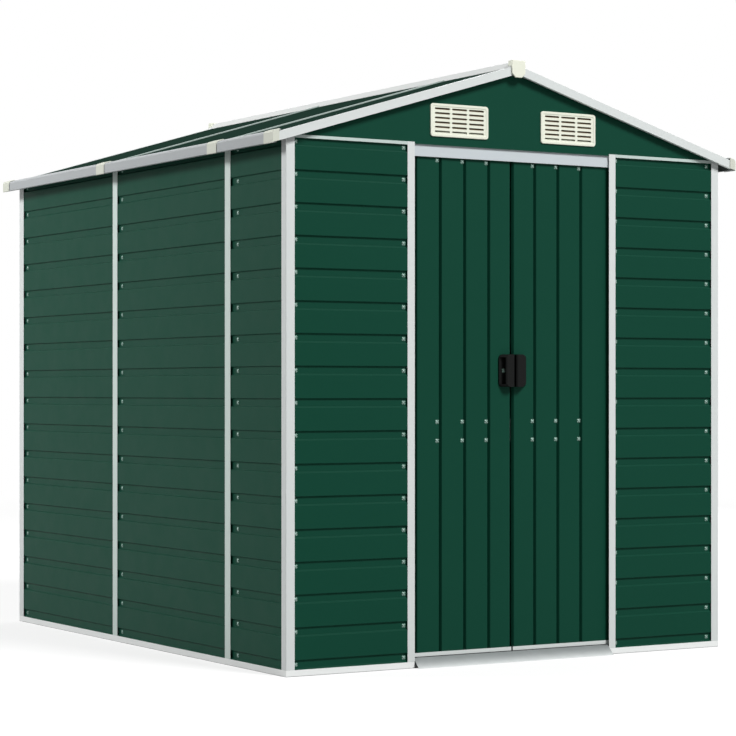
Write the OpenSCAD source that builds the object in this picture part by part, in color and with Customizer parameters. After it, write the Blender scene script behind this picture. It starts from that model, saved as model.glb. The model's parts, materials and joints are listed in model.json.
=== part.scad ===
// Metal storage shed. Sheets pressed with a boarded pattern stand in a frame of
// folded rails and posts, under a low gable roof, with two sliding door leaves.
// Millimetres, +Z up, the doors face -Y, the origin is on the ground at the middle.

/* [Walls] */
// Outside width over the corner posts
wall_w = 1722; // [1600:1:2400]
// Outside depth over the corner posts
wall_d = 2116; // [1800:1:3200]
// Height to the top of the front and back top rails
wall_h = 1689; // [1500:1:2100]
// Thickness of the pressed sheets
sheet_t = 1; // [0.6:0.1:1.6]
// Height of one pressed board, from groove to groove
board_pitch = 102; // [60:1:160]
// Height of the lowest groove above the ground
first_groove = 36; // [30:1:80]
// Height of a groove at half its depth
groove_w = 26; // [16:1:40]
// Height of each sloping side of a groove
groove_slope = 2; // [1:0.5:12]
// Depth of a groove
groove_depth = 6; // [3:0.5:8]

/* [Frame] */
// Thickness of the folded rails, posts and trims
trim_t = 1.2; // [0.8:0.1:1.8]
// Height of the base rail's outer lip
base_lip = 20; // [12:1:30]
// Width of the base rail on the ground
base_w = 36; // [24:1:60]
// Height of the base rail's inner flange
base_flange = 26; // [16:1:50]
// Height of the top rail's outer lip
top_lip = 10; // [6:1:20]
// Height of the flange that the gable sheet is fixed to
gable_flange = 20; // [10:1:40]
// Width of a corner post's face on the front and the back
post_front = 31; // [20:1:60]
// Width of a front corner post's face on the side
post_side = 29; // [20:1:60]
// Width of a back corner post's face on the side
post_rear = 42; // [20:1:60]
// Width of a mullion between two wall sheets
mullion_w = 38; // [24:1:70]
// Gap between two sheets inside a mullion
sheet_gap = 4; // [2:0.5:10]
// From the front face to the middle of the first side mullion
narrow_bay = 389; // [250:1:600]
// Between the middles of the two side mullions
wide_bay = 858; // [500:1:1000]

/* [Doorway] */
// Clear width between the jambs
opening_w = 776; // [600:1:900]
// Width of a jamb's face
jamb_w = 27; // [20:1:50]
// From the edge of a jamb's face back to its return
jamb_set = 10; // [0:0.5:12]
// Height of the header that closes the top of the doorway
header_h = 33; // [28:1:60]
// From the wall's face back to the header
header_recess = 7; // [5:0.1:7.2]
// How far the ramp reaches out in front of the wall
ramp_reach = 26; // [15:1:27]
// Height of the guide rail on the floor track
guide_h = 24; // [18:1:26]
// Height of the lip that the leaves hang on
hang_lip = 12; // [8:1:12]

/* [Doors] */
// Height of a leaf's foot above the ground
leaf_foot = 33; // [30:1:45]
// How far a leaf reaches behind its jamb
leaf_lap = 20; // [10:1:26]
// Gap between the two closed leaves
meeting_gap = 6; // [5:0.5:12]
// From the wall's face back to the front of a leaf
leaf_recess = 13.8; // [13.5:0.1:18]
// Height of the channel along a leaf's foot
foot_channel = 13; // [8:1:30]
// Height of the channel along a leaf's head
head_channel = 15; // [10:1:30]
// From the middle of the doorway to the first rib
rib_first = 92; // [80:1:120]
// Distance between ribs
rib_pitch = 94.5; // [60:0.5:110]
// Width of a rib
rib_w = 13; // [12:1:30]
// Width of each sloping side of a rib, and of the leaves' meeting edges
rib_side = 5.5; // [3:0.5:6]
// Depth of a rib
rib_depth = 10; // [3:0.5:12]
// Height of the middle of the brace inside a leaf
brace_z = 761; // [500:1:1100]
// Height of the brace
brace_h = 76; // [40:1:120]
// Depth of the brace
brace_depth = 12; // [6:1:25]
// Length of a glide or a guide
glide_l = 36; // [20:1:60]
// From a leaf's edge to the middle of a glide
glide_inset = 60; // [40:1:120]

/* [Handles] */
// Width of a handle
handle_w = 50; // [42:1:56]
// Height of a handle
handle_h = 107; // [90:1:140]
// Height of the middle of a handle
handle_z = 956; // [880:1:1100]
// How far a handle stands out from the leaf
handle_proud = 25; // [20:0.5:28]
// Radius of a handle's outer corners
handle_r = 15; // [8:1:24]
// Width of a handle from its inner side to the outer edge of its face
grip_w = 31; // [26:1:34]
// Thickness of a handle's plate on the leaf
handle_edge = 5; // [4:0.5:8]
// Thickness of a handle's front and inner walls
handle_wall = 4; // [3:0.5:5]
// Height of the pocket for the fingers
grip_h = 88; // [60:1:90]

/* [Roof] */
// Pitch of the roof in degrees
roof_pitch = 16.57; // [8:0.01:30]
// From the top of the walls up to the roof sheets at the wall's face
eave_lift = 12.8; // [8:0.1:30]
// How far the eaves reach out beyond the side walls
eave_over = 57; // [40:1:120]
// How far the roof reaches out beyond the gables
verge_over = 20; // [14:0.5:60]
// Drop of the eave trim's face below the roof sheets
eave_drop = 27; // [20:1:50]
// Height of the eave trim's top over the roof sheets
eave_rise = 7.5; // [6:0.5:12]
// Width of the sloping edge along the top of the eave trim
eave_roll = 5; // [2:0.5:8]
// Drop of the bargeboard's face below the roof sheets
barge_drop = 27; // [16:1:50]
// Reach of the trims' flanges over the roof sheets
roof_flange = 28; // [15:1:45]
// Width of the returned lip below the trims
trim_lip = 12; // [6:1:13]
// Width of the strip over a roof seam
seam_w = 26; // [18:1:50]
// Height of the strip over a roof seam
seam_h = 8; // [6:0.5:15]
// Height of a sheet's turned up edge in a seam
seam_fold = 5; // [2:0.5:5]
// Width of the ridge cover
ridge_w = 62; // [50:1:100]
// Width of the ridge cover's flat top
ridge_flat = 30; // [15:1:40]
// Height of the ridge cover's top over the meeting of the sheets
ridge_rise = 13; // [6:0.5:25]
// Depth of the ridge beam
beam_h = 46; // [30:1:80]
// Width of the ridge beam and the purlins
beam_w = 40; // [24:1:60]
// From the ridge out to the middle of a purlin
purlin_x = 460; // [340:1:560]

/* [Vents and caps] */
// Width of a gable vent
vent_w = 224; // [150:1:240]
// Height of a gable vent
vent_h = 107; // [70:1:110]
// From the middle of the gable to the middle of a vent
vent_x = 217; // [130:1:225]
// From the top of the wall up to the middle of a vent
vent_up = 75; // [62:1:80]
// How far a vent's rim stands out
vent_proud = 4.5; // [3:0.5:8]
// Width of a vent's rim
vent_rim = 9; // [5:1:14]
// Columns of slots in a vent
vent_columns = 3; // [2:1:4]
// Rows of slots in a vent
vent_rows = 6; // [3:1:7]
// Height of a slot
slot_h = 6.5; // [3:0.5:8]
// Width of the bar between two columns of slots
slot_bar = 8; // [4:1:16]
// Depth of the rain blade behind a row of slots
blade_run = 9; // [6:0.5:14]
// Thickness of a rain blade
blade_t = 1.5; // [1:0.1:2.5]
// Thickness of the moulded caps
cap_t = 2; // [1:0.5:4]
// Length of an eave cap
eave_cap_l = 66; // [40:1:100]
// Length of a corner cap along the eave
corner_cap_l = 60; // [40:1:100]
// Length of a corner cap along the bargeboard
corner_cap_w = 26; // [18:1:27]
// Width of a ridge end cap
ridge_cap_w = 53; // [40:1:58]
// Height of a ridge end cap
ridge_cap_h = 57; // [45:1:70]
// Thickness of a ridge end cap's face
ridge_cap_t = 6; // [6:0.5:12]
// How far a ridge end cap reaches back over the ridge cover
ridge_cap_reach = 18; // [8:1:40]

/* [Hidden] */
$fn = 32;
// Clearance between pieces that are screwed together
fit = 0.2;
// Clearance of a glide on the lip that it runs on
run = 0.5;
// Height of a glide over the lip that carries it
bear = 0.3;
// Clear way round the moving leaves
way = 5.2;
// Overlap of a cutting shape past the faces that it cuts
over = 1;

sheet_green = [0.10, 0.28, 0.21];
roof_green = [0.08, 0.20, 0.15];
trim_white = [0.86, 0.88, 0.88];
ivory = [0.92, 0.92, 0.86];
black = [0.12, 0.12, 0.12];
galvanised = [0.60, 0.63, 0.63];
nylon = [0.75, 0.75, 0.72];

// The sheets lie just inside the faces of the posts and trims
face = trim_t + fit;
sheet_back = face + groove_depth + sheet_t;
pocket = sheet_back + fit + trim_t;
sheet_foot = trim_t + fit;
sheet_head = wall_h - trim_t - fit;
groove_mouth = groove_w + groove_slope;
groove_floor = groove_w - groove_slope;
groove_rows = floor((sheet_head - first_groove - groove_mouth / 2) / board_pitch) + 1;
post_foot = base_lip + fit;
lip_low = wall_h - top_lip;
mullion_head = lip_low - fit;
first_mullion = -wall_d / 2 + narrow_bay;
second_mullion = first_mullion + wide_bay;
wall_end = wall_d / 2 - pocket - fit;
gable_back = face + sheet_t;
base_high = max(base_lip, base_flange);

// Doorway and leaves, as depths behind the wall's face and heights
jamb_x = opening_w / 2;
jamb_in = jamb_x + jamb_set;
jamb_out = jamb_x + jamb_w;
jamb_back = leaf_recess - way;
leaf_face = leaf_recess + face;
leaf_fold = rib_depth + sheet_t;
leaf_lip = leaf_face + leaf_fold + fit;
leaf_back = leaf_lip + trim_t;
leaf_in = meeting_gap / 2;
leaf_out = jamb_x + leaf_lap;
header_low = wall_h - header_h;
header_lap = 4;
gable_tab = 6;
leaf_head = header_low + header_lap;
rib_count = floor((leaf_out - sheet_t - rib_w / 2 - rib_first) / rib_pitch) + 1;
rail_depth = (leaf_recess + leaf_back) / 2;
guide_low = 8;
guide_t = 5.6;
track_lip = 12;
hang_gap = 2;
hang_z = leaf_head + hang_gap;
hang_d = leaf_back + way;
hang_top = hang_z + hang_lip;
glide_t = 5;
glide_top = hang_top + bear + glide_t;
glide_front = leaf_recess + trim_t;
glide_back = hang_d + trim_t + run + glide_t;
track_back = glide_back + way + trim_t;
top_rail_w = track_back + trim_t;
handle_set = 1;
handle_in = leaf_in + handle_set;
handle_out = handle_in + handle_w;
grip_out = handle_in + grip_w;
grip_edge = 4;

// Roof lines, as heights over the roof sheets' upper faces
slope = tan(roof_pitch);
sheet_v = sheet_t / cos(roof_pitch);
trim_v = trim_t / cos(roof_pitch);
ridge_z = wall_h + eave_lift + slope * wall_w / 2;
under = -sheet_v - fit;
flange_top = fit + trim_v;
eave_x = wall_w / 2 + eave_over;
eave_in = eave_x - trim_t - fit;
eave_low = roof_z(eave_x) - eave_drop;
eave_shoulder = roof_z(eave_x) + eave_rise - eave_roll;
flange_in = eave_x - roof_flange;
verge_y = wall_d / 2 + verge_over;
verge_in = verge_y - trim_t - fit;
post_head = ridge_z - slope * wall_w / 2 + under;
ridge_half = ridge_w / 2;
ridge_foot = roof_z(ridge_half) + flange_top;
seam_in = ridge_half + fit;
sheet_in = 2;
side_flange = 30;
vent_z = wall_h + vent_up;
vent_sink = 1.5;
vent_field = vent_proud - vent_sink;
vent_r = 10;
cap_x = eave_x + fit + cap_t;
cap_y = verge_y + fit + cap_t;
blade_lap = 1.5;
blade_rise = slot_h + blade_lap;
ridge_top = ridge_z + ridge_rise;
ridge_side = (ridge_w - ridge_flat) / 2;
ridge_cap_over = 4.2;
ridge_cap_cut = 14;

function reversed(line) = [for (i = [len(line) - 1 : -1 : 0]) line[i]];
function moved(line, by) = [for (p = line) p + by];
function roof_z(x) = ridge_z - slope * x;

module both_sides() {
    children();
    mirror([1, 0, 0]) children();
}

module both_ends() {
    children();
    mirror([0, 1, 0]) children();
}

// Frames of the walls: x runs along the wall, y goes inwards from its face
module on_front() {
    translate([0, -wall_d / 2, 0]) children();
}

module on_back() {
    rotate(180) on_front() children();
}

module on_right() {
    rotate(90) translate([0, -wall_w / 2, 0]) children();
}

// Runs an outline of depth and height along a wall
module along(x0, x1) {
    translate([x0, 0, 0]) rotate([90, 0, 90]) linear_extrude(x1 - x0) children();
}

// Thickens an outline seen from the front, outwards from a depth
module outwards(depth, t) {
    translate([0, depth, 0]) rotate([90, 0, 0]) linear_extrude(t) children();
}

// Box given by two corners of its outline
module plate(x0, y0, x1, y1) {
    translate([x0, y0]) square([x1 - x0, y1 - y0]);
}

// Outline of a sheet folded along a line, with its thickness to one side
module folded(line, by) {
    polygon(concat(line, reversed(moved(line, by))));
}

module rounded(w, h, r) {
    square([w - 2 * r, h], center = true);
    square([w, h - 2 * r], center = true);
    for (x = [-1, 1], y = [-1, 1])
        translate([x * (w / 2 - r), y * (h / 2 - r)]) circle(r);
}

// Runs an outline of x and height along the roof
module along_roof(y0, y1) {
    translate([0, y1, 0]) rotate([90, 0, 0]) linear_extrude(y1 - y0) children();
}

// Band that follows the right roof slope between two heights over its sheets
module slope_band(x0, x1, lo, hi, y0, y1) {
    along_roof(y0, y1) polygon([[x0, roof_z(x0) + lo], [x1, roof_z(x1) + lo],
        [x1, roof_z(x1) + hi], [x0, roof_z(x0) + hi]]);
}

// Base and top rails

// Channel on the ground that a wall's sheets stand in
module base_outline(width, flange) {
    plate(0, 0, trim_t, base_lip);
    plate(0, 0, width, trim_t);
    plate(width - trim_t, 0, width, flange);
}

// The rails are mitred where they meet at the corners
module front_base_rails() {
    color(trim_white) both_sides() on_front() intersection() {
        along(jamb_x, wall_w / 2) base_outline(pocket, base_lip);
        linear_extrude(base_high)
            polygon([[jamb_x, 0], [wall_w / 2, 0], [wall_w / 2 - pocket, pocket], [jamb_x, pocket]]);
    }
}

module side_base_rails() {
    front = fit - wall_d / 2;
    back = wall_d / 2 - fit;
    color(trim_white) both_sides() on_right() intersection() {
        along(front, back) base_outline(base_w, base_flange);
        linear_extrude(base_high)
            polygon([[front, 0], [front + pocket, pocket], [front + pocket, base_w],
                [back - base_w, base_w], [back, 0]]);
    }
}

module back_base_rail() {
    half = wall_w / 2;
    color(trim_white) on_back() intersection() {
        along(-half, half) base_outline(base_w, base_flange);
        linear_extrude(base_high)
            polygon([[-half, 0], [half, 0], [half - base_w, base_w], [base_w - half, base_w]]);
    }
}

// Angle over the sheets' heads, with a flange up the back of the gable sheet
module top_outline(width) {
    plate(0, lip_low, trim_t, wall_h);
    plate(0, wall_h - trim_t, width, wall_h);
    plate(gable_back + fit, wall_h - trim_t, gable_back + fit + trim_t, wall_h + gable_flange);
}

rail_x = wall_w / 2 - post_front - fit;

module front_top_rail() {
    notch_x = jamb_out + fit;
    color(trim_white) on_front() difference() {
        along(-rail_x, rail_x) top_outline(top_rail_w);
        along(-notch_x, notch_x) plate(-over, lip_low - over, gable_back + fit, wall_h + over);
    }
}

module back_top_rail() {
    color(trim_white) on_back() along(-rail_x, rail_x) top_outline(base_w);
}

// Rail along a side wall's head, turned over to the slope of the roof
module side_top_rails() {
    seat = roof_z(wall_w / 2) + under;
    inner = seat + slope * side_flange;
    color(trim_white) both_sides() on_right()
        along(-wall_d / 2 + post_side + fit, wall_d / 2 - post_rear - fit)
            polygon([[0, lip_low], [trim_t, lip_low], [trim_t, seat + slope * trim_t - trim_v],
                [side_flange, inner - trim_v], [side_flange, inner], [0, seat]]);
}

// Posts, jambs and mullions

// Corner tube with slots on both sides for the sheets' edges
module post_outline(side) {
    difference() {
        square(pocket);
        plate(trim_t, trim_t, pocket - trim_t, pocket - trim_t);
    }
    plate(0, 0, post_front, trim_t);
    plate(pocket - trim_t, pocket - trim_t, post_front, pocket);
    plate(0, 0, trim_t, side);
    plate(pocket - trim_t, pocket - trim_t, pocket, side);
}

module corner_post(side) {
    translate([-wall_w / 2, -wall_d / 2, post_foot]) linear_extrude(post_head - post_foot)
        post_outline(side);
}

module front_corner_posts() {
    color(trim_white) both_sides() corner_post(post_side);
}

module back_corner_posts() {
    color(trim_white) mirror([0, 1, 0]) both_sides() corner_post(post_rear);
}

// Strip up the side of the doorway, with a return behind its face and below the top rail
module door_jambs() {
    color(trim_white) both_sides() on_front() translate([0, 0, post_foot]) {
        linear_extrude(wall_h - post_foot) plate(jamb_x, 0, jamb_out, trim_t);
        linear_extrude(sheet_head - post_foot) plate(jamb_in, 0, jamb_in + trim_t, jamb_back);
    }
}

// Strip with slots on both sides, seen from above
module mullion(x) {
    half = mullion_w / 2;
    translate([x, 0, post_foot]) linear_extrude(mullion_head - post_foot) {
        plate(-half, 0, half, trim_t);
        plate(-half, pocket - trim_t, half, pocket);
        plate(-trim_t / 2, 0, trim_t / 2, pocket);
    }
}

module wall_mullions() {
    color(trim_white) {
        both_sides() on_right() {
            mullion(first_mullion);
            mullion(second_mullion);
        }
        on_back() mullion(0);
    }
}

// Wall sheets

function groove(z) = [[0, z - groove_mouth / 2], [groove_depth, z - groove_floor / 2],
    [groove_depth, z + groove_floor / 2], [0, z + groove_mouth / 2]];

function board_line() = concat([[0, sheet_foot]],
    [for (i = [0 : groove_rows - 1]) each groove(first_groove + i * board_pitch)],
    [[0, sheet_head]]);

// Sheet pressed with one groove below each board
module wall_sheet(x0, x1) {
    color(sheet_green) along(x0, x1) translate([face, 0]) folded(board_line(), [sheet_t, 0]);
}

module front_right_panel() {
    on_front() wall_sheet(jamb_in + face, wall_w / 2 - pocket - fit);
}

module front_left_panel() {
    mirror([1, 0, 0]) front_right_panel();
}

module right_front_panel() {
    on_right() wall_sheet(-wall_end, first_mullion - sheet_gap / 2);
}

module right_middle_panel() {
    on_right() wall_sheet(first_mullion + sheet_gap / 2, second_mullion - sheet_gap / 2);
}

module right_back_panel() {
    on_right() wall_sheet(second_mullion + sheet_gap / 2, wall_end);
}

module left_front_panel() {
    mirror([1, 0, 0]) right_front_panel();
}

module left_middle_panel() {
    mirror([1, 0, 0]) right_middle_panel();
}

module left_back_panel() {
    mirror([1, 0, 0]) right_back_panel();
}

module back_left_panel() {
    on_back() wall_sheet(sheet_gap / 2, wall_w / 2 - pocket - fit);
}

module back_right_panel() {
    mirror([1, 0, 0]) back_left_panel();
}

// Gables and their vents

// Plain sheet under the roof, cut out behind the vents
module gable_sheet(low) {
    half = wall_w / 2 - pocket - fit;
    tab = jamb_x - fit;
    foot = wall_h + fit;
    color(sheet_green) outwards(gable_back, sheet_t) difference() {
        polygon([[-tab, low], [tab, low], [tab, foot], [half, foot], [half, roof_z(half) + under],
            [0, roof_z(0) + under], [-half, roof_z(half) + under], [-half, foot], [-tab, foot]]);
        for (x = [-vent_x, vent_x])
            translate([x, vent_z]) square([vent_w - 2 * vent_rim, vent_h - 2 * vent_rim], center = true);
    }
}

module front_gable() {
    on_front() gable_sheet(wall_h - gable_tab);
}

module back_gable() {
    on_back() gable_sheet(wall_h + fit);
}

// Moulded vent with a raised rim, rows of slots and a rain blade behind each row
module vent() {
    inner_w = vent_w - 2 * vent_rim;
    inner_h = vent_h - 2 * vent_rim;
    column = (inner_w - slot_bar) / vent_columns;
    row = inner_h / vent_rows;
    slot_w = column - slot_bar;
    outwards(trim_t, vent_proud) difference() {
        rounded(vent_w, vent_h, vent_r);
        rounded(inner_w, inner_h, vent_r - vent_rim / 2);
    }
    outwards(trim_t, vent_field) difference() {
        square([inner_w, inner_h], center = true);
        for (i = [0 : vent_columns - 1], j = [0 : vent_rows - 1])
            translate([(i - (vent_columns - 1) / 2) * column, (j - (vent_rows - 1) / 2) * row])
                rounded(slot_w, slot_h, slot_h / 2 - fit);
    }
    for (j = [0 : vent_rows - 1])
        along((slot_bar - inner_w) / 2, (inner_w - slot_bar) / 2)
            translate([trim_t, (j - (vent_rows - 1) / 2) * row - slot_h / 2]) rain_blade();
}

// Outline of a blade that rises inwards from the foot of its slots
module rain_blade() {
    seat = -vent_field / 2;
    polygon([[seat, -blade_t], [0, -blade_t], [blade_run, blade_rise - blade_t],
        [blade_run, blade_rise], [0, 0], [seat, 0]]);
}

module gable_vents() {
    color(ivory) both_ends() both_sides() on_front() translate([vent_x, 0, vent_z]) vent();
}

// Doorway

// Bent sheet up to the doors, open at its ends
module door_ramp() {
    rise = leaf_foot / (ramp_reach + jamb_back);
    ramp_v = trim_t * sqrt(1 + rise * rise);
    inner = jamb_back - trim_t;
    color(galvanised) on_front() along(-jamb_x + fit, jamb_x - fit)
        polygon([[-ramp_reach, 0], [jamb_back, leaf_foot], [jamb_back, trim_t], [pocket, trim_t],
            [pocket, 0], [inner, 0], [inner, leaf_foot - rise * trim_t - ramp_v],
            [ramp_v / rise - ramp_reach, 0]]);
}

// Floor plate with the rail that the leaves' guides straddle
module door_floor_track() {
    half = wall_w / 2 - base_w - fit;
    color(galvanised) on_front() along(-half, half) {
        plate(pocket + fit, 0, track_back, trim_t);
        plate(rail_depth - trim_t / 2, 0, rail_depth + trim_t / 2, guide_h);
        plate(track_back - trim_t, 0, track_back, track_lip);
    }
}

// Channel behind the header with the lip that the leaves hang on
module door_head_track() {
    top = wall_h - trim_t - fit;
    color(galvanised) on_front() along(-rail_x, rail_x) {
        plate(pocket, top - trim_t, track_back, top);
        plate(track_back - trim_t, hang_z, track_back, top);
        plate(hang_d, hang_z, track_back, hang_z + trim_t);
        plate(hang_d, hang_z, hang_d + trim_t, hang_top);
    }
}

// Strip over the doorway, set back under the gable's edge, with a hem along its foot
module door_header() {
    color(trim_white) on_front() along(fit - jamb_in, jamb_in - fit) {
        plate(header_recess, header_low, header_recess + trim_t, sheet_head);
        plate(header_recess, header_low, jamb_back, header_low + trim_t);
    }
}

// Roof

module right_sheets() {
    edges = [-verge_in, first_mullion, second_mullion, verge_in];
    half = sheet_gap / 2;
    color(roof_green) for (i = [0 : len(edges) - 2]) {
        first = i == 0;
        last = i == len(edges) - 2;
        y0 = first ? edges[i] : edges[i] + half;
        y1 = last ? edges[i + 1] : edges[i + 1] - half;
        slope_band(sheet_in, eave_in, -sheet_v, 0, y0, y1);
        if (!first) slope_band(seam_in, flange_in - fit, -sheet_v, seam_fold, y0, y0 + sheet_t);
        if (!last) slope_band(seam_in, flange_in - fit, -sheet_v, seam_fold, y1 - sheet_t, y1);
    }
}

module right_roof_sheets() {
    right_sheets();
}

module left_roof_sheets() {
    mirror([1, 0, 0]) right_sheets();
}

// Channel turned over the two upright edges of a seam
module seam_strip(y) {
    half = seam_w / 2;
    translate([0, y, 0]) {
        slope_band(seam_in, flange_in - fit, seam_h - trim_v, seam_h, -half, half);
        for (s = [-half, half - trim_t])
            slope_band(seam_in, flange_in - fit, fit, seam_h, s, s + trim_t);
    }
}

module roof_seam_strips() {
    color(trim_white) both_sides() {
        seam_strip(first_mullion);
        seam_strip(second_mullion);
    }
}

module bargeboards() {
    out = -verge_y;
    color(trim_white) both_ends() both_sides() {
        slope_band(fit, eave_x, -barge_drop, flange_top, out, out + trim_t);
        slope_band(seam_in, flange_in - fit, fit, flange_top, out, out + roof_flange);
        slope_band(fit, eave_x - trim_lip - fit, -barge_drop, trim_v - barge_drop, out, out + trim_lip);
    }
}

// Line up the eave trim's face, over its sloping edge and up the roof, at a distance from the trim
function eave_line(off, foot, inner) = [[eave_x + off, foot], [eave_x + off, eave_shoulder],
    [eave_x + off - eave_roll, roof_z(eave_x - eave_roll) + eave_rise + off],
    [inner, roof_z(inner) + eave_rise + off]];

module eave_trims() {
    color(trim_white) both_sides() {
        along_roof(-verge_in, verge_in) {
            folded(eave_line(0, eave_low + trim_t, flange_in), [-trim_t, -trim_t]);
            plate(eave_x - trim_lip, eave_low, eave_x, eave_low + trim_t);
        }
        slope_band(flange_in, flange_in + trim_t, fit, eave_rise, -verge_in, verge_in);
    }
}

// Folded strip over the ridge, standing on both slopes
module ridge_cover() {
    flat = ridge_flat / 2;
    color(trim_white) along_roof(-verge_in, verge_in)
        folded([[-ridge_half, ridge_foot], [-flat, ridge_top], [flat, ridge_top],
            [ridge_half, ridge_foot]], [0, -trim_v]);
}

// Channel under the ridge with a flange up each slope
module ridge_beam() {
    half = beam_w / 2;
    low = ridge_z - beam_h;
    end = wall_d / 2 - gable_back - fit;
    color(galvanised) {
        both_sides() {
            slope_band(half - trim_t, beam_w, under - trim_v, under, -end, end);
            along_roof(-end, end) plate(half - trim_t, low, half, roof_z(half) + under);
        }
        along_roof(-end, end) plate(-half, low, half, low + trim_t);
    }
}

// Channel along the middle of a slope
module roof_purlins() {
    half = beam_w / 2;
    end = wall_d / 2 - gable_back - fit;
    low = under - beam_w;
    color(galvanised) both_sides() {
        slope_band(purlin_x - half, purlin_x + half, under - trim_v, under, -end, end);
        slope_band(purlin_x - half, purlin_x - half + trim_t, low, under, -end, end);
        slope_band(purlin_x - half, purlin_x + half, low, low + trim_v, -end, end);
    }
}

// Moulded caps

// Shield over the meeting of the bargeboards, reaching back over the end of the ridge cover
module ridge_end_caps() {
    half = ridge_cap_w / 2;
    flat = ridge_flat / 2;
    top = ridge_top + ridge_cap_over;
    low = top - ridge_cap_h;
    cut = ridge_cap_cut;
    seat = ridge_top + fit;
    side = seat - (ridge_top - ridge_foot) * (half - flat) / ridge_side;
    color(ivory) both_ends() {
        outwards(-verge_y - fit, ridge_cap_t)
            polygon([[-half + cut, low], [half - cut, low], [half, low + cut], [half, top],
                [-half, top], [-half, low + cut]]);
        along_roof(-verge_y - fit, ridge_cap_reach - verge_y)
            polygon([[-half, side], [-flat, seat], [flat, seat], [half, side], [half, top], [-half, top]]);
    }
}

// Cap over the eave trim where a seam strip meets it
module seam_cap(y) {
    half = eave_cap_l / 2;
    along_roof(y - half, y + half)
        folded(eave_line(fit, eave_low - cap_t, flange_in), [cap_t, cap_t]);
}

// Cap round the corner of the eave and the bargeboard
module corner_cap() {
    inner = cap_x - corner_cap_w;
    line = eave_line(fit, eave_low - cap_t, inner);
    outside = moved(line, [cap_t, cap_t]);
    along_roof(-cap_y, corner_cap_l - cap_y) folded(line, [cap_t, cap_t]);
    along_roof(-cap_y, cap_t - cap_y)
        polygon(concat(outside, [[inner + cap_t, roof_z(inner + cap_t) - barge_drop]]));
}

module eave_caps() {
    color(ivory) both_sides() {
        seam_cap(first_mullion);
        seam_cap(second_mullion);
        both_ends() corner_cap();
    }
}

// Door leaves

function rib(x) = [[x - rib_w / 2, 0], [x - rib_w / 2 + rib_side, rib_depth],
    [x + rib_w / 2 - rib_side, rib_depth], [x + rib_w / 2, 0]];

function leaf_line() = concat([[leaf_in, rib_depth], [leaf_in + rib_side, 0]],
    [for (i = [0 : rib_count - 1]) each rib(rib_first + i * rib_pitch)], [[leaf_out, 0]]);

// Sheet pressed with upright ribs, sloping at its meeting edge and folded back at the other
module right_door_panel() {
    foot = leaf_foot + face;
    head = leaf_head - face;
    color(sheet_green) on_front() translate([0, leaf_face, foot]) linear_extrude(head - foot) {
        folded(leaf_line(), [0, sheet_t]);
        plate(leaf_out - sheet_t, 0, leaf_out, leaf_fold);
    }
}

// Channel round a leaf's edge, its web at z and its lips towards edge
module leaf_channel(z, edge) {
    low = min(z, edge);
    high = max(z, edge);
    web = z < edge ? z : z - trim_t;
    plate(leaf_recess, low, leaf_recess + trim_t, high);
    plate(leaf_lip, low, leaf_back, high);
    plate(leaf_recess, web, leaf_back, web + trim_t);
}

module right_door_rails() {
    low = brace_z - brace_h / 2;
    high = brace_z + brace_h / 2;
    back = leaf_lip + brace_depth;
    color(trim_white) on_front() along(leaf_in, leaf_out) {
        leaf_channel(leaf_foot, leaf_foot + foot_channel);
        leaf_channel(leaf_head, leaf_head - head_channel);
        plate(back - trim_t, low, back, high);
        plate(leaf_lip, low, back, low + trim_t);
        plate(leaf_lip, high - trim_t, back, high);
    }
}

// Outline of a handle: straight along the leaf's edge, round at its outer corners
module handle_outline() {
    half = handle_h / 2;
    plate(handle_in, -half, handle_out - handle_r, half);
    plate(handle_in, handle_r - half, handle_out, half - handle_r);
    for (z = [handle_r - half, half - handle_r])
        translate([handle_out - handle_r, z]) circle(handle_r);
}

// Moulded handle with a flat face, and a pocket for the fingers that is open to its outer side
module right_door_handle() {
    base = leaf_face - fit;
    top = base - handle_proud;
    half = handle_h / 2;
    color(black) on_front() translate([0, 0, handle_z]) difference() {
        intersection() {
            outwards(base, handle_proud) handle_outline();
            translate([0, 0, -half]) linear_extrude(handle_h)
                polygon([[handle_in, base], [handle_in, top + grip_edge], [handle_in + grip_edge, top],
                    [grip_out, top], [handle_out, base - handle_edge], [handle_out, base]]);
        }
        translate([0, 0, -grip_h / 2]) linear_extrude(grip_h)
            plate(handle_in + handle_wall, top + handle_wall, handle_out + over, base - handle_edge);
    }
}

// Hooks over the head track's lip, and guides astride the floor track's rail
module right_door_glides() {
    color(nylon) for (x = [leaf_in + glide_inset, leaf_out - glide_inset])
        on_front() along(x - glide_l / 2, x + glide_l / 2) {
            plate(glide_front, leaf_head + fit, hang_d - run, glide_top);
            plate(glide_front, hang_top + bear, glide_back, glide_top);
            plate(glide_back - glide_t, hang_top - glide_t, glide_back, glide_top);
            difference() {
                plate(rail_depth - guide_t / 2, guide_low, rail_depth + guide_t / 2, leaf_foot - fit);
                plate(rail_depth - trim_t / 2 - run, 0, rail_depth + trim_t / 2 + run, guide_h + run);
            }
        }
}

module left_door_panel() {
    mirror([1, 0, 0]) right_door_panel();
}

module left_door_rails() {
    mirror([1, 0, 0]) right_door_rails();
}

module left_door_handle() {
    mirror([1, 0, 0]) right_door_handle();
}

module left_door_glides() {
    mirror([1, 0, 0]) right_door_glides();
}

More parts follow.
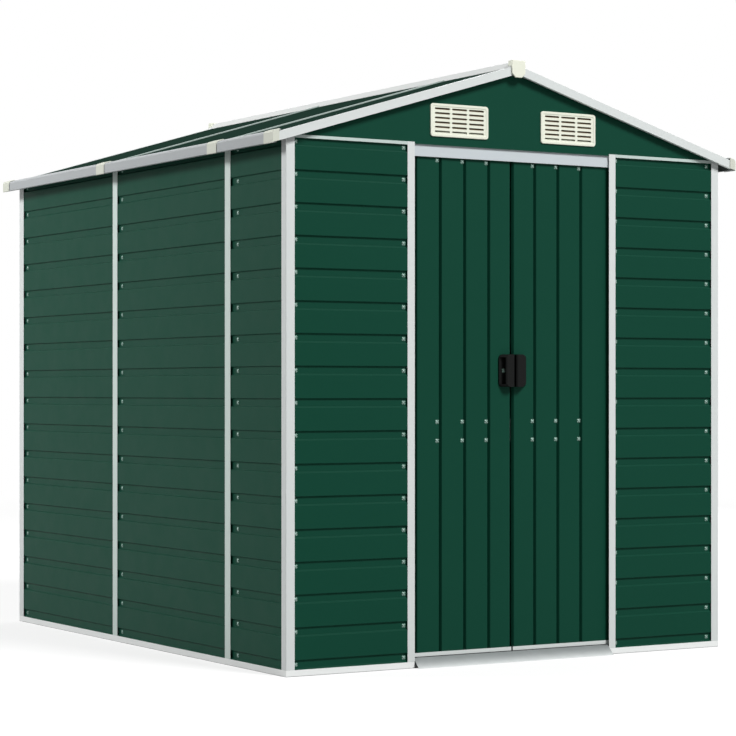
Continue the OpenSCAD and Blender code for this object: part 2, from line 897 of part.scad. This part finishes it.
front_base_rails();
side_base_rails();
back_base_rail();
door_ramp();
door_floor_track();
door_head_track();
door_header();
front_corner_posts();
back_corner_posts();
door_jambs();
wall_mullions();
front_left_panel();
front_right_panel();
left_front_panel();
left_middle_panel();
left_back_panel();
right_front_panel();
right_middle_panel();
right_back_panel();
back_left_panel();
back_right_panel();
front_top_rail();
back_top_rail();
side_top_rails();
front_gable();
back_gable();
gable_vents();
left_roof_sheets();
right_roof_sheets();
roof_seam_strips();
bargeboards();
eave_trims();
ridge_cover();
ridge_beam();
roof_purlins();
ridge_end_caps();
eave_caps();
left_door_panel();
left_door_rails();
left_door_handle();
left_door_glides();
right_door_panel();
right_door_rails();
right_door_handle();
right_door_glides();
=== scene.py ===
# Metal storage shed: boarded steel sheets in a white frame, under a low gable roof, with two
# sliding door leaves. Metres, +Z up, the doors face -Y, the ground is at zero.
import json
import math

import bmesh
import bpy
from mathutils import Matrix, Vector

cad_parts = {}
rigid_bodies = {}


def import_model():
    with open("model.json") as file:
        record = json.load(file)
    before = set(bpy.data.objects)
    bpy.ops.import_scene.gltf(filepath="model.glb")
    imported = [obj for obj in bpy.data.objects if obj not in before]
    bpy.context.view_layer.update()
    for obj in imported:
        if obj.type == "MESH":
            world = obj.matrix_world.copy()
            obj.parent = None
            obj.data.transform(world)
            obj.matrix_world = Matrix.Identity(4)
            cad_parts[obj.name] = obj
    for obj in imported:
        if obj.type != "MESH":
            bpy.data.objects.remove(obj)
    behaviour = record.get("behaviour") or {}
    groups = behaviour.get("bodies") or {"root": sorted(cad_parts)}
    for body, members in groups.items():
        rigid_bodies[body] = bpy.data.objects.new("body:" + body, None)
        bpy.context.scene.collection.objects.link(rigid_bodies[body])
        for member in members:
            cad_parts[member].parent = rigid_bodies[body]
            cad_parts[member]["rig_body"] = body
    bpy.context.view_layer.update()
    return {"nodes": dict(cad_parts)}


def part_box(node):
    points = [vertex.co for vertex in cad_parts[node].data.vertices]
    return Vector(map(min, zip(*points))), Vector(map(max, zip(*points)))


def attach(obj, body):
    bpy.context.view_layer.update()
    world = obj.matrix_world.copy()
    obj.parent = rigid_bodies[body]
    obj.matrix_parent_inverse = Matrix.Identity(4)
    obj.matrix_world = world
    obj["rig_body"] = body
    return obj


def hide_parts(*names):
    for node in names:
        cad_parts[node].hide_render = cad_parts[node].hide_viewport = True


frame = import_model()


# Camera
# The view is level and from the left of the doors, through a long lens that is shifted up
# a little, so that the ridge and the ground are both in the square frame.
image_px = 736
focal_px = 2371.65
horizon_px = 390.27
sensor_mm = 36
eye = (-4.452, -7.494, 0.8915)
view_turn = math.radians(31.14)
view_reach = 100

lens = bpy.data.cameras.new("camera")
lens.sensor_width = sensor_mm
lens.lens = sensor_mm * focal_px / image_px
lens.shift_y = horizon_px / image_px - 0.5
lens.clip_end = view_reach
camera = bpy.data.objects.new("camera", lens)
camera.location = eye
camera.rotation_euler = (math.pi / 2, 0, -view_turn)
bpy.context.scene.collection.objects.link(camera)
bpy.context.scene.camera = camera


# Base rails
# Channels on the ground that the wall sheets stand in, mitred at the corners. They are folded from
# zinc-coated steel strip, so their outside bends are round, and powder-coated white, painted lighter
# than the other whites as light from the floor.
nodes = frame["nodes"]
bend_radius = 0.0016
bend_steps = 3
same_point = 1e-5
flat_angle = math.radians(0.5)
sharp_angle = math.radians(35)


class Flow:
    """What runs through a finish: a socket of its nodes. Sums on it add Math nodes."""

    def __init__(self, tree, socket=None):
        self.tree = tree
        self.socket = socket

    def node(self, kind, settings, sockets, out=0):
        """Adds a node, sets it up, fills its sockets, and gives one of its outputs."""
        made = self.tree.nodes.new(kind)
        for key, value in settings.items():
            setattr(made, key, value)
        for key, value in sockets.items():
            if isinstance(value, Flow):
                self.tree.links.new(value.socket, made.inputs[key])
            else:
                made.inputs[key].default_value = value
        return Flow(self.tree, made.outputs[out])

    def math(self, operation, first, second):
        return self.node("ShaderNodeMath", {"operation": operation}, {0: first, 1: second})

    def __add__(self, other):
        return self.math("ADD", self, other)

    def __mul__(self, other):
        return self.math("MULTIPLY", self, other)

    __radd__ = __add__
    __rmul__ = __mul__

    def blend(self, first, second):
        """A colour between two others, at this share of the second."""
        return self.node("ShaderNodeMix", {"data_type": "RGBA"}, {0: self, 6: first, 7: second}, 2)

    def noise(self, scale, detail):
        """Cloudy values from 0 to 1 fixed to the piece, with so many clouds a metre."""
        place = self.node("ShaderNodeTexCoord", {}, {}, "Object")
        return self.node("ShaderNodeTexNoise", {}, {"Vector": place, "Scale": scale, "Detail": detail})

    def bump(self, height):
        """The surface's tilt over this relief of so many metres."""
        return self.node("ShaderNodeBump", {}, {"Height": self, "Distance": height}, "Normal")

    def into(self, socket):
        self.tree.links.new(self.socket, socket)


def new_finish(name):
    """An empty finish: the material, its flow and the shader's sockets."""
    material = bpy.data.materials.new(name)
    material.use_nodes = True
    return material, Flow(material.node_tree), material.node_tree.nodes["Principled BSDF"].inputs


def powder_coat(name, light, dark, roughness=0.42, specular=0.3):
    """Oven-baked powder paint: tone that drifts slowly, and a fine orange peel."""
    cloud_share = 0.3
    gloss_spread = 0.16
    peel_height = 0.00008
    material, flow, shader = new_finish(name)
    drift = flow.noise(scale=1.3, detail=2)
    cloud = flow.noise(scale=17, detail=3)
    peel = flow.noise(scale=450, detail=1)
    tone = drift * (1 - cloud_share) + cloud * cloud_share
    tone.blend(dark, light).into(shader["Base Color"])
    (cloud * gloss_spread + (roughness - gloss_spread / 2)).into(shader["Roughness"])
    peel.bump(peel_height).into(shader["Normal"])
    shader["Specular IOR Level"].default_value = specular
    return material


def long_bends(mesh, radius):
    """Outside bends along a folded strip, between faces wide enough to be rounded."""
    least_length = 40 * radius
    least_width = 2.5 * radius
    least_turn = math.radians(25)

    def width(edge, face):
        start = edge.verts[0].co
        along = (edge.verts[1].co - start).normalized()
        return max((vert.co - start).cross(along).length for vert in face.verts)

    return [edge for edge in mesh.edges
            if len(edge.link_faces) == 2 and edge.calc_length() > least_length
            and edge.calc_face_angle_signed() > least_turn
            and all(width(edge, face) > least_width for face in edge.link_faces)]


def dressed(node, finish, radius=bend_radius, bends=long_bends, steps=bend_steps, press=None):
    """A merged copy of a node, pressed further and with its bends rounded, which stands for it."""
    source = nodes[node]
    mesh = bmesh.new()
    mesh.from_mesh(source.data)
    bmesh.ops.remove_doubles(mesh, verts=mesh.verts, dist=same_point)
    if press:
        press(mesh)
    bmesh.ops.dissolve_limit(mesh, angle_limit=flat_angle, verts=mesh.verts, edges=mesh.edges)
    bmesh.ops.bevel(mesh, geom=bends(mesh, radius), offset=radius, offset_type="OFFSET",
                    affect="EDGES", segments=steps, profile=0.5, material=-1, clamp_overlap=True)
    for face in mesh.faces:
        face.smooth = True
        face.material_index = 0
    data = bpy.data.meshes.new(f"{node}_finished")
    mesh.to_mesh(data)
    mesh.free()
    data.set_sharp_from_angle(angle=sharp_angle)
    data.materials.append(finish)
    piece = bpy.data.objects.new(data.name, data)
    bpy.context.scene.collection.objects.link(piece)
    piece.modifiers.new("flat_faces", "WEIGHTED_NORMAL").keep_sharp = True
    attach(piece, source["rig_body"])
    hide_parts(node)
    return piece


# A lighter copy of the white: painted light, as if bounced up from the floor.
painted_light_white = powder_coat("painted_light_white", (0.90, 0.92, 0.91, 1), (0.87, 0.89, 0.88, 1))

for rail in ("front_base_rails", "side_base_rails", "back_base_rail"):
    dressed(rail, painted_light_white)


# Ramp and floor track
# A bent strip up to the doors, and behind it the plate with the rail that guides the leaves.
# Both are bare hot-dip galvanised steel; the ramp's zinc is painted dark under the doors as shade, and
# light along its front edge.
ramp_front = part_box("door_ramp")[0].y
shade_to_light_width = 0.034
painted_light_zinc = (0.63, 0.655, 0.655, 1)
painted_shade_zinc = (0.16, 0.177, 0.177, 1)


def galvanised(name, dark, light, painted_light_and_shade=False):
    """Zinc in crystals of about a centimetre, each of its own tone and gloss."""
    crystal_share = 0.4
    least_roughness, gloss_spread = 0.42, 0.10
    crystal_height = 0.00001
    metal_share = 0.4
    show_through = 0.3
    material, flow, shader = new_finish(name)
    place = flow.node("ShaderNodeTexCoord", {}, {}, "Object")
    crystal = flow.node("ShaderNodeTexVoronoi", {}, {"Vector": place, "Scale": 85}, "Color")
    tone = flow.node("ShaderNodeSeparateColor", {}, {0: crystal})
    haze = flow.noise(scale=6, detail=3)
    zinc = (tone * crystal_share + haze * (1 - crystal_share)).blend(dark, light)
    # On the ramp: painted shade at the back under the doors, fading to painted light along the front
    # edge.
    if painted_light_and_shade:
        depth = flow.node("ShaderNodeSeparateXYZ", {}, {0: place}, "Y")
        edge = flow.node("ShaderNodeMapRange", {}, {
            "Value": depth, "From Min": ramp_front + shade_to_light_width, "From Max": ramp_front})
        painted_shade_and_light = (edge * edge).blend(painted_shade_zinc, painted_light_zinc)
        zinc = (haze * show_through).blend(painted_shade_and_light, zinc)
    zinc.into(shader["Base Color"])
    (tone * gloss_spread + least_roughness).into(shader["Roughness"])
    tone.bump(crystal_height).into(shader["Normal"])
    shader["Metallic"].default_value = metal_share
    return material


bare_zinc = galvanised("bare_zinc", (0.34, 0.37, 0.37, 1), (0.41, 0.44, 0.44, 1))
ramp_painted_shade_zinc = galvanised(
    "ramp_painted_shade_zinc", (0.287, 0.312, 0.312, 1), (0.346, 0.371, 0.371, 1), painted_light_and_shade=True)

dressed("door_ramp", ramp_painted_shade_zinc)
dressed("door_floor_track", bare_zinc)


# Corner posts, mullions and jambs
# Upright strips with slots on both sides for the sheets' edges. They are roll-formed from steel
# strip, cut between the base rails and the eaves, and powder-coated white, the mullions greener.
white_paint = powder_coat("white_paint", (0.68, 0.715, 0.705, 1), (0.645, 0.68, 0.67, 1))
green_white = powder_coat("green_white", (0.605, 0.70, 0.66, 1), (0.575, 0.665, 0.627, 1))

for upright in ("front_corner_posts", "back_corner_posts", "door_jambs"):
    dressed(upright, white_paint)
dressed("wall_mullions", green_white)


# Wall sheets
# Thin steel sheets pressed with a groove under each board. The press rounds the creases, and
# the green powder coat is laid on before the sheets slide into the slots of the uprights.
crease_radius = 0.0016


def creases(mesh, radius):
    """Creases that a press leaves in a sheet, on both of its faces."""
    least_length = 40 * radius
    least_turn, most_turn = math.radians(20), math.radians(85)
    return [edge for edge in mesh.edges
            if len(edge.link_faces) == 2 and edge.calc_length() > least_length
            and least_turn < edge.calc_face_angle() < most_turn]


green_paint = powder_coat("green_paint", (0.0042, 0.0520, 0.0310, 1), (0.0034, 0.0470, 0.0278, 1),
                          roughness=0.5, specular=0.07)

wall_sheets = [f"{end}_{side}_panel" for end in ("front", "back") for side in ("left", "right")]
for side in ("left", "right"):
    wall_sheets += [f"{side}_{bay}_panel" for bay in ("front", "middle", "back")]
for sheet in wall_sheets:
    dressed(sheet, green_paint, crease_radius, creases)


# Wall screws
# Pan-headed self-tapping screws with a cross recess, of zinc-plated steel, each on a washer of
# pale plastic. They go through the groove below every board near the uprights.
head_radius = 0.0046
head_top = 0.0024
recess_half = 0.32 * head_radius
recess_slot = 0.08 * head_radius
recess_depth = 0.0005
washer_radius = 0.0074
zinc_part, plastic_part = 0, 1
screw_outline = (  # radius, height and finish, from the recess out to the washer's underside
    (0.70 * head_radius, 0.0022, zinc_part), (head_radius, 0.0014, zinc_part),
    (head_radius, 0.0010, zinc_part), (washer_radius, 0.0006, plastic_part),
    (washer_radius, 0.0, plastic_part))
first_row = 0.036
row_pitch = 0.102
row_count = 17
groove_face = 0.0074
front_columns = (-0.823, -0.4262, 0.420, 0.8128)
side_columns = (-0.727, 0.1435, 0.993)
back_columns = (0.052, 0.807)


def screw_shape():
    """One screw that stands up along +Z, with its washer's underside at zero."""
    shape = bmesh.new()
    bmesh.ops.create_grid(shape, x_segments=3, y_segments=3, size=recess_half)
    for vert in shape.verts:
        for axis in (0, 1):
            if abs(vert.co[axis]) < recess_half / 2:
                vert.co[axis] = math.copysign(recess_slot, vert.co[axis])
        vert.co.z = head_top
    middles = [(face, face.calc_center_median()) for face in shape.faces]
    cross = [face for face, middle in middles if min(abs(middle.x), abs(middle.y)) < recess_slot]
    sunk = bmesh.ops.extrude_face_region(shape, geom=cross)["geom"]
    sunk = [item for item in sunk if isinstance(item, bmesh.types.BMVert)]
    bmesh.ops.translate(shape, verts=sunk, vec=(0, 0, -recess_depth))
    edge = [item for item in shape.edges if item.is_boundary]
    for radius, height, finish in screw_outline:
        grown = bmesh.ops.extrude_edge_only(shape, edges=edge)["geom"]
        for item in grown:
            if isinstance(item, bmesh.types.BMVert):
                spot = Vector((item.co.x, item.co.y)).normalized() * radius
                item.co = (spot.x, spot.y, height)
            elif isinstance(item, bmesh.types.BMFace):
                item.material_index = finish
        edge = [item for item in grown if isinstance(item, bmesh.types.BMEdge) and item.is_boundary]
    bmesh.ops.contextual_create(shape, geom=edge, mat_nr=plastic_part)
    bmesh.ops.recalc_face_normals(shape, faces=shape.faces)
    data = bpy.data.meshes.new("screw")
    shape.to_mesh(data)
    shape.free()
    return data


def screws(name, body, places):
    """One piece with a screw at each place, which is a point and the way that it faces."""
    mesh = bmesh.new()
    for point, outward in places:
        count = len(mesh.verts)
        mesh.from_mesh(screw)
        mesh.verts.ensure_lookup_table()
        turn = Vector((0, 0, 1)).rotation_difference(Vector(outward)).to_matrix().to_4x4()
        bmesh.ops.transform(mesh, matrix=Matrix.Translation(point) @ turn, verts=mesh.verts[count:])
    data = bpy.data.meshes.new(name)
    mesh.to_mesh(data)
    mesh.free()
    data.materials.append(screw_zinc)
    data.materials.append(washer_plastic)
    piece = bpy.data.objects.new(name, data)
    bpy.context.scene.collection.objects.link(piece)
    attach(piece, body)


def moulded(name, light, dark, roughness, grain=0.00003, specular=0.4):
    """Injection-moulded plastic with the fine sparked grain of its mould."""
    gloss_spread = 0.12
    material, flow, shader = new_finish(name)
    cloud = flow.noise(scale=9, detail=2)
    spark = flow.noise(scale=900, detail=2)
    cloud.blend(dark, light).into(shader["Base Color"])
    (spark * gloss_spread + (roughness - gloss_spread / 2)).into(shader["Roughness"])
    spark.bump(grain).into(shader["Normal"])
    shader["Specular IOR Level"].default_value = specular
    return material


screw = screw_shape()
screw_zinc = galvanised("screw_zinc", (0.25, 0.38, 0.33, 1), (0.31, 0.44, 0.39, 1))
washer_plastic = moulded(
    "washer_plastic", (0.20, 0.33, 0.275, 1), (0.175, 0.30, 0.248, 1), roughness=0.4)

rows = [first_row + number * row_pitch for number in range(row_count)]
wall_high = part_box("back_corner_posts")[1]
half_width = wall_high.x
front_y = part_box("front_corner_posts")[0].y
back_y = wall_high.y
spots = []
for z in rows:
    spots += [((x, front_y + groove_face, z), (0, -1, 0)) for x in front_columns]
    for side in (-1, 1):
        spots += [((side * (half_width - groove_face), y, z), (side, 0, 0)) for y in side_columns]
        spots += [((side * x, back_y - groove_face, z), (0, 1, 0)) for x in back_columns]
screws("wall_screws", "shed", spots)


# Top rails
# Angles over the heads of the sheets, with a narrow lip to the outside. They are folded from
# steel strip, powder-coated in a greenish white and screwed to the uprights and to the gables.
rail_radius = 0.001

pale_green = powder_coat("pale_green", (0.53, 0.62, 0.59, 1), (0.49, 0.58, 0.55, 1))

for rail in ("front_top_rail", "back_top_rail", "side_top_rails"):
    dressed(rail, pale_green, rail_radius)


# Gables
# A flat steel sheet at each end, cut to the slope of the roof with two openings for the vents,
# and powder-coated the same green as the walls. They keep the solids' own meshes.
for gable in ("front_gable", "back_gable"):
    for place in nodes[gable].material_slots:
        place.material = green_paint


# Gable vents
# Ivory plates with a raised rim and rows of slots, pressed into the openings of the gables, and behind
# each row a blade against the rain, painted brown as the shade in the slots but for the lowest. All
# are injection-moulded.
rim_radius = 0.0016
plate_back = back_y - 0.0014
lowest_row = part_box("gable_vents")[0].z + 0.0238


def rim_edges(mesh, radius):
    """Edges round the outermost face of a vent's rim."""
    least_turn = math.radians(60)
    reach = max(abs(vert.co.y) for vert in mesh.verts) - same_point
    return [edge for edge in mesh.edges if all(abs(vert.co.y) > reach for vert in edge.verts)
            and edge.calc_face_angle() > least_turn]


ivory_plastic = moulded(
    "ivory_plastic", (0.81, 0.83, 0.71, 1), (0.77, 0.79, 0.67, 1), roughness=0.45)
# A brown that paints the shade seen through the slots.
painted_shade_blades = moulded(
    "painted_shade_blades", (0.38, 0.29, 0.20, 1), (0.33, 0.25, 0.17, 1), roughness=0.6, specular=0.2)

vents = dressed("gable_vents", ivory_plastic, rim_radius, rim_edges)
vents.data.materials.append(painted_shade_blades)
# Faces behind the plate, above the lowest row, take the brown of the painted shade.
for face in vents.data.polygons:
    face.material_index = int(abs(face.center.y) < plate_back and face.center.z > lowest_row)


# Header and head track
# A strip over the doorway, folded and set back under the gable's edge, its coat a darker, cooler white
# that paints the shade there, and behind it the bare galvanised channel with the lip that the leaves
# hang on.
# The strip's hem hides the leaves' heads.
header_drop = 0.011


def hem_down(mesh):
    """Draws the hem of the strip down in front of the leaves' head channels."""
    hem_top = min(vert.co.z for vert in mesh.verts) + 2 * bend_radius
    for vert in mesh.verts:
        if vert.co.z < hem_top:
            vert.co.z -= header_drop


# A darker, cooler white: painted shade under the gable's edge.
painted_shade_white = powder_coat("painted_shade_white", (0.561, 0.611, 0.635, 1), (0.532, 0.581, 0.603, 1))

dressed("door_header", painted_shade_white, press=hem_down)
dressed("door_head_track", bare_zinc)


# Roof
# Three flat green sheets a slope with their edges turned up, strips in a greenish grey folded
# over the seams, and a beam and two purlins of bare galvanised channel below.
roof_fall = math.tan(math.radians(16.57))
sheet_rise = 0.00104
seam_foot = 0.001
seam_share = 0.55
fold_radius = 0.0003
fold_steps = 2
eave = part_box("right_roof_sheets")


def low_seams(mesh):
    """Presses the turned up edges and the strips over them closer to the sheets."""
    for vert in mesh.verts:
        above = vert.co.z - eave[0].z - sheet_rise - roof_fall * (eave[1].x - abs(vert.co.x))
        if above > seam_foot:
            vert.co.z -= (1 - seam_share) * above


roof_paint = powder_coat("roof_paint", (0.0148, 0.0360, 0.0264, 1), (0.0125, 0.0308, 0.0226, 1),
                         roughness=0.6, specular=0.0)
strip_green = powder_coat("strip_green", (0.310, 0.375, 0.352, 1), (0.288, 0.353, 0.330, 1),
                          roughness=0.45, specular=0.2)

for slope in ("left_roof_sheets", "right_roof_sheets"):
    dressed(slope, roof_paint, fold_radius, steps=fold_steps, press=low_seams)
dressed("roof_seam_strips", strip_green, press=low_seams)
for channel in ("ridge_beam", "roof_purlins"):
    dressed(channel, bare_zinc)


# Roof trims
# Bargeboards along the verges, trims with a sloping edge along the eaves, coloured grey as painted
# shade, and a cover over the ridge, all folded from steel strip, powder-coated and screwed through the
# sheets.
# A grey that paints the shade on the white eave trims.
painted_shade_grey = powder_coat("painted_shade_grey", (0.40, 0.42, 0.43, 1), (0.37, 0.39, 0.40, 1), specular=0.25)
ridge_white = powder_coat("ridge_white", (0.70, 0.72, 0.71, 1), (0.67, 0.69, 0.68, 1), specular=0.2)

dressed("bargeboards", white_paint)
dressed("eave_trims", painted_shade_grey)
dressed("ridge_cover", ridge_white)


# Roof caps
# Ivory caps moulded in plastic: two at the ends of the ridge, one over the eave at each seam and one
# round each corner of the roof. They clip over the trims. The eave caps take a darker ivory, painted
# shade.
cap_radius = 0.0016
fine_radius = 0.0006
fine_steps = 2


def outer_edges(mesh, radius):
    """Every sharp outside edge of a solid piece."""
    least_turn = math.radians(30)
    return [edge for edge in mesh.edges if len(edge.link_faces) == 2
            and edge.calc_face_angle_signed() > least_turn]


# A darker copy of the ivory: painted shade on the eave caps.
painted_shade_ivory = moulded("painted_shade_ivory", (0.63, 0.65, 0.57, 1), (0.58, 0.60, 0.52, 1), roughness=0.5)

dressed("ridge_end_caps", ivory_plastic, cap_radius, outer_edges)
dressed("eave_caps", painted_shade_ivory, fine_radius, outer_edges, fine_steps)


# Door leaves
# A green steel sheet with upright ribs pressed into it, its edges folded back, held at head
# and foot by white channels and stiffened inside by a brace.
rib_radius = 0.0009
rib_depth = 0.010
edge_rib = (0.371, 0.380)


def flat_edge(mesh):
    """Presses the rib beside the right jamb flat, where that leaf has none."""
    for vert in mesh.verts:
        if edge_rib[0] < vert.co.x < edge_rib[1]:
            vert.co.y -= rib_depth


dressed("left_door_panel", green_paint, rib_radius, creases)
dressed("right_door_panel", green_paint, rib_radius, creases, press=flat_edge)
for side in ("left", "right"):
    dressed(f"{side}_door_rails", white_paint, rail_radius)


# Door screws
# The same screws hold each leaf to its head channel and, in pairs, to the brace inside it,
# beside every rib.
leaf_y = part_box("left_door_panel")[0].y
screw_columns = {"left": (-0.2935, -0.1965, -0.1025), "right": (0.082, 0.177, 0.272)}
screw_heights = (1.6355, 0.7895, 0.7285)

for side, columns in screw_columns.items():
    places = [((x, leaf_y, z), (0, -1, 0)) for x in columns for z in screw_heights]
    screws(f"{side}_door_screws", f"{side}_door", places)


# Door handles
# A pair of black handles, moulded in glass-filled nylon with a pocket for the fingers that is
# open to the outer side, and screwed to the leaves from inside. One screw shows in the left one.
handle_radius = 0.0022
corner_radius = 0.013
corner_steps = 5
grip_edge = 0.035
flank_lean = 0.95
handle_screw = (-0.0365, -1.0482, 0.9566)


def round_corners(mesh):
    """Rounds the two outer corners of a handle's face, along the lean of its flank."""
    points = [vert.co for vert in mesh.verts]
    side = math.copysign(1, points[0].x)
    face = min(point.y for point in points)
    foot, head = min(point.z for point in points), max(point.z for point in points)
    for end, up in ((foot, -1), (head, 1)):
        for step in range(1, corner_steps + 1):
            turn = math.pi / 2 * step / (corner_steps + 1)
            across, rise = math.cos(turn), math.sin(turn)
            flank = side * (grip_edge - corner_radius * (1 - across))
            height = end - up * corner_radius * (1 - rise)
            whole = mesh.verts[:] + mesh.edges[:] + mesh.faces[:]
            bmesh.ops.bisect_plane(mesh, geom=whole, plane_co=(flank, face, height), clear_outer=True,
                                   plane_no=(side * across, -flank_lean * across, up * rise))
            bmesh.ops.holes_fill(mesh, edges=[edge for edge in mesh.edges if edge.is_boundary])


def front_edges(mesh, radius):
    """Sharp edges of a handle, apart from those that lie on the leaf."""
    least_turn = math.radians(25)
    seat = max(vert.co.y for vert in mesh.verts) - same_point
    return [edge for edge in mesh.edges if len(edge.link_faces) == 2
            and abs(edge.calc_face_angle_signed()) > least_turn
            and not all(vert.co.y > seat for vert in edge.verts)]


black_plastic = moulded("black_plastic", (0.0068, 0.0074, 0.0072, 1), (0.0054, 0.0060, 0.0058, 1),
                        roughness=0.5, grain=0.00006, specular=0.08)

for side in ("left", "right"):
    dressed(f"{side}_door_handle", black_plastic, handle_radius, front_edges, press=round_corners)
screws("handle_screw", "left_door", [(handle_screw, (0, -1, 0))])


# Door glides
# Nylon hooks that hang the leaves on the head track's lip, and guides that straddle the rail of
# the floor track. They are moulded and screwed to the leaves' channels.
white_nylon = moulded("white_nylon", (0.58, 0.58, 0.54, 1), (0.52, 0.52, 0.48, 1), roughness=0.5)

for side in ("left", "right"):
    dressed(f"{side}_door_glides", white_nylon, fine_radius, outer_edges, fine_steps)


# Studio
# A pale floor, a broad soft lamp from the front, a smaller one on the left wall, a weak one from
# behind on the right, and the dim light of a pale room. The camera sees room and floor as white,
# but under the shed the floor has no glow and is painted a darker grey as shade.
lamps = {  # the way to each lamp from the shed, its distance and size in metres, its power in watts
    "front_lamp": ((0.198, -0.691, 0.695), 20, 5.5, 4160),
    "left_lamp": ((-0.809, 0.350, 0.472), 7.4, 1.5, 355),
    "back_lamp": ((0.70, 0.62, 0.35), 9, 5, 380),
}
lit_point = Vector((0, 0, 1))
room_light = 0.10
floor_size = 30
floor_drop = 0.0004
near_floor = 3.0
floor_fade = 9.0
shaded_tone = 0.33
floor_glow = 0.71
bounced_tone = 0.36
painted_inside_shade_tone = 0.20


def grey(tone):
    return tone, tone, tone, 1


def seen_share(flow):
    """1 for what the camera, a reflection or a clear piece shows, and 0 for bounced light."""
    shares = [flow.node("ShaderNodeLightPath", {}, {}, f"Is {kind} Ray")
              for kind in ("Camera", "Glossy", "Transmission")]
    return shares[0] + shares[1] + shares[2]


floor_mesh = bmesh.new()
bmesh.ops.create_grid(floor_mesh, x_segments=1, y_segments=1, size=floor_size)
bmesh.ops.translate(floor_mesh, verts=floor_mesh.verts, vec=(0, 0, -floor_drop))
floor_data = bpy.data.meshes.new("floor")
floor_mesh.to_mesh(floor_data)
floor_mesh.free()
floor = bpy.data.objects.new("floor", floor_data)
bpy.context.scene.collection.objects.link(floor)

floor_paint = bpy.data.materials.new("floor_paint")
floor_paint.use_nodes = True
floor_nodes = floor_paint.node_tree.nodes
floor_nodes.remove(floor_nodes["Principled BSDF"])
flow = Flow(floor_paint.node_tree)
place = flow.node("ShaderNodeTexCoord", {}, {}, "Object")
reach = flow.node("ShaderNodeVectorMath", {"operation": "LENGTH"}, {0: place}, "Value")
fade = flow.node("ShaderNodeMapRange", {"interpolation_type": "SMOOTHSTEP"}, {
    "Value": reach, "From Min": near_floor, "From Max": near_floor + floor_fade})
shaded = flow.node("ShaderNodeBsdfDiffuse", {}, {"Color": grey(shaded_tone)})
glow = flow.node("ShaderNodeEmission", {}, {"Color": grey(1), "Strength": floor_glow})
near = flow.node("ShaderNodeAddShader", {}, {0: shaded, 1: glow})
white = flow.node("ShaderNodeEmission", {}, {"Color": grey(1), "Strength": 1})
shown = flow.node("ShaderNodeMixShader", {}, {0: fade, 1: near, 2: white})
across = flow.node("ShaderNodeSeparateXYZ", {}, {0: place}, "X")
along = flow.node("ShaderNodeSeparateXYZ", {}, {0: place}, "Y")
# Painted shade: under the shed the floor loses its glow and takes a darker grey.
painted_shade_under_roof = (flow.math("LESS_THAN", flow.math("ABSOLUTE", across, 0), half_width)
          * flow.math("LESS_THAN", flow.math("ABSOLUTE", along, 0), back_y))
painted_inside_shade = flow.node("ShaderNodeBsdfDiffuse", {}, {"Color": grey(painted_inside_shade_tone)})
shown = flow.node("ShaderNodeMixShader", {}, {0: painted_shade_under_roof, 1: shown, 2: painted_inside_shade})
bounced = flow.node("ShaderNodeBsdfDiffuse", {}, {"Color": grey(bounced_tone)})
pale = flow.node("ShaderNodeMixShader", {}, {0: seen_share(flow), 1: bounced, 2: shown})
pale.into(floor_nodes["Material Output"].inputs["Surface"])
floor_data.materials.append(floor_paint)

room = bpy.data.worlds.new("room")
room.use_nodes = True
flow = Flow(room.node_tree)
dim = flow.node("ShaderNodeBackground", {}, {"Color": grey(1), "Strength": room_light})
white = flow.node("ShaderNodeBackground", {}, {"Color": grey(1), "Strength": 1})
backdrop = flow.node("ShaderNodeMixShader", {}, {0: seen_share(flow), 1: dim, 2: white})
backdrop.into(room.node_tree.nodes["World Output"].inputs["Surface"])
bpy.context.scene.world = room

for name, (way, distance, size, power) in lamps.items():
    light = bpy.data.lights.new(name, "AREA")
    light.size = size
    light.energy = power
    lamp = bpy.data.objects.new(name, light)
    lamp.location = Vector(way) * distance + lit_point
    lamp.rotation_euler = Vector(way).to_track_quat("Z", "Y").to_euler()
    bpy.context.scene.collection.objects.link(lamp)
bpy.context.scene.view_settings.view_transform = "Standard"
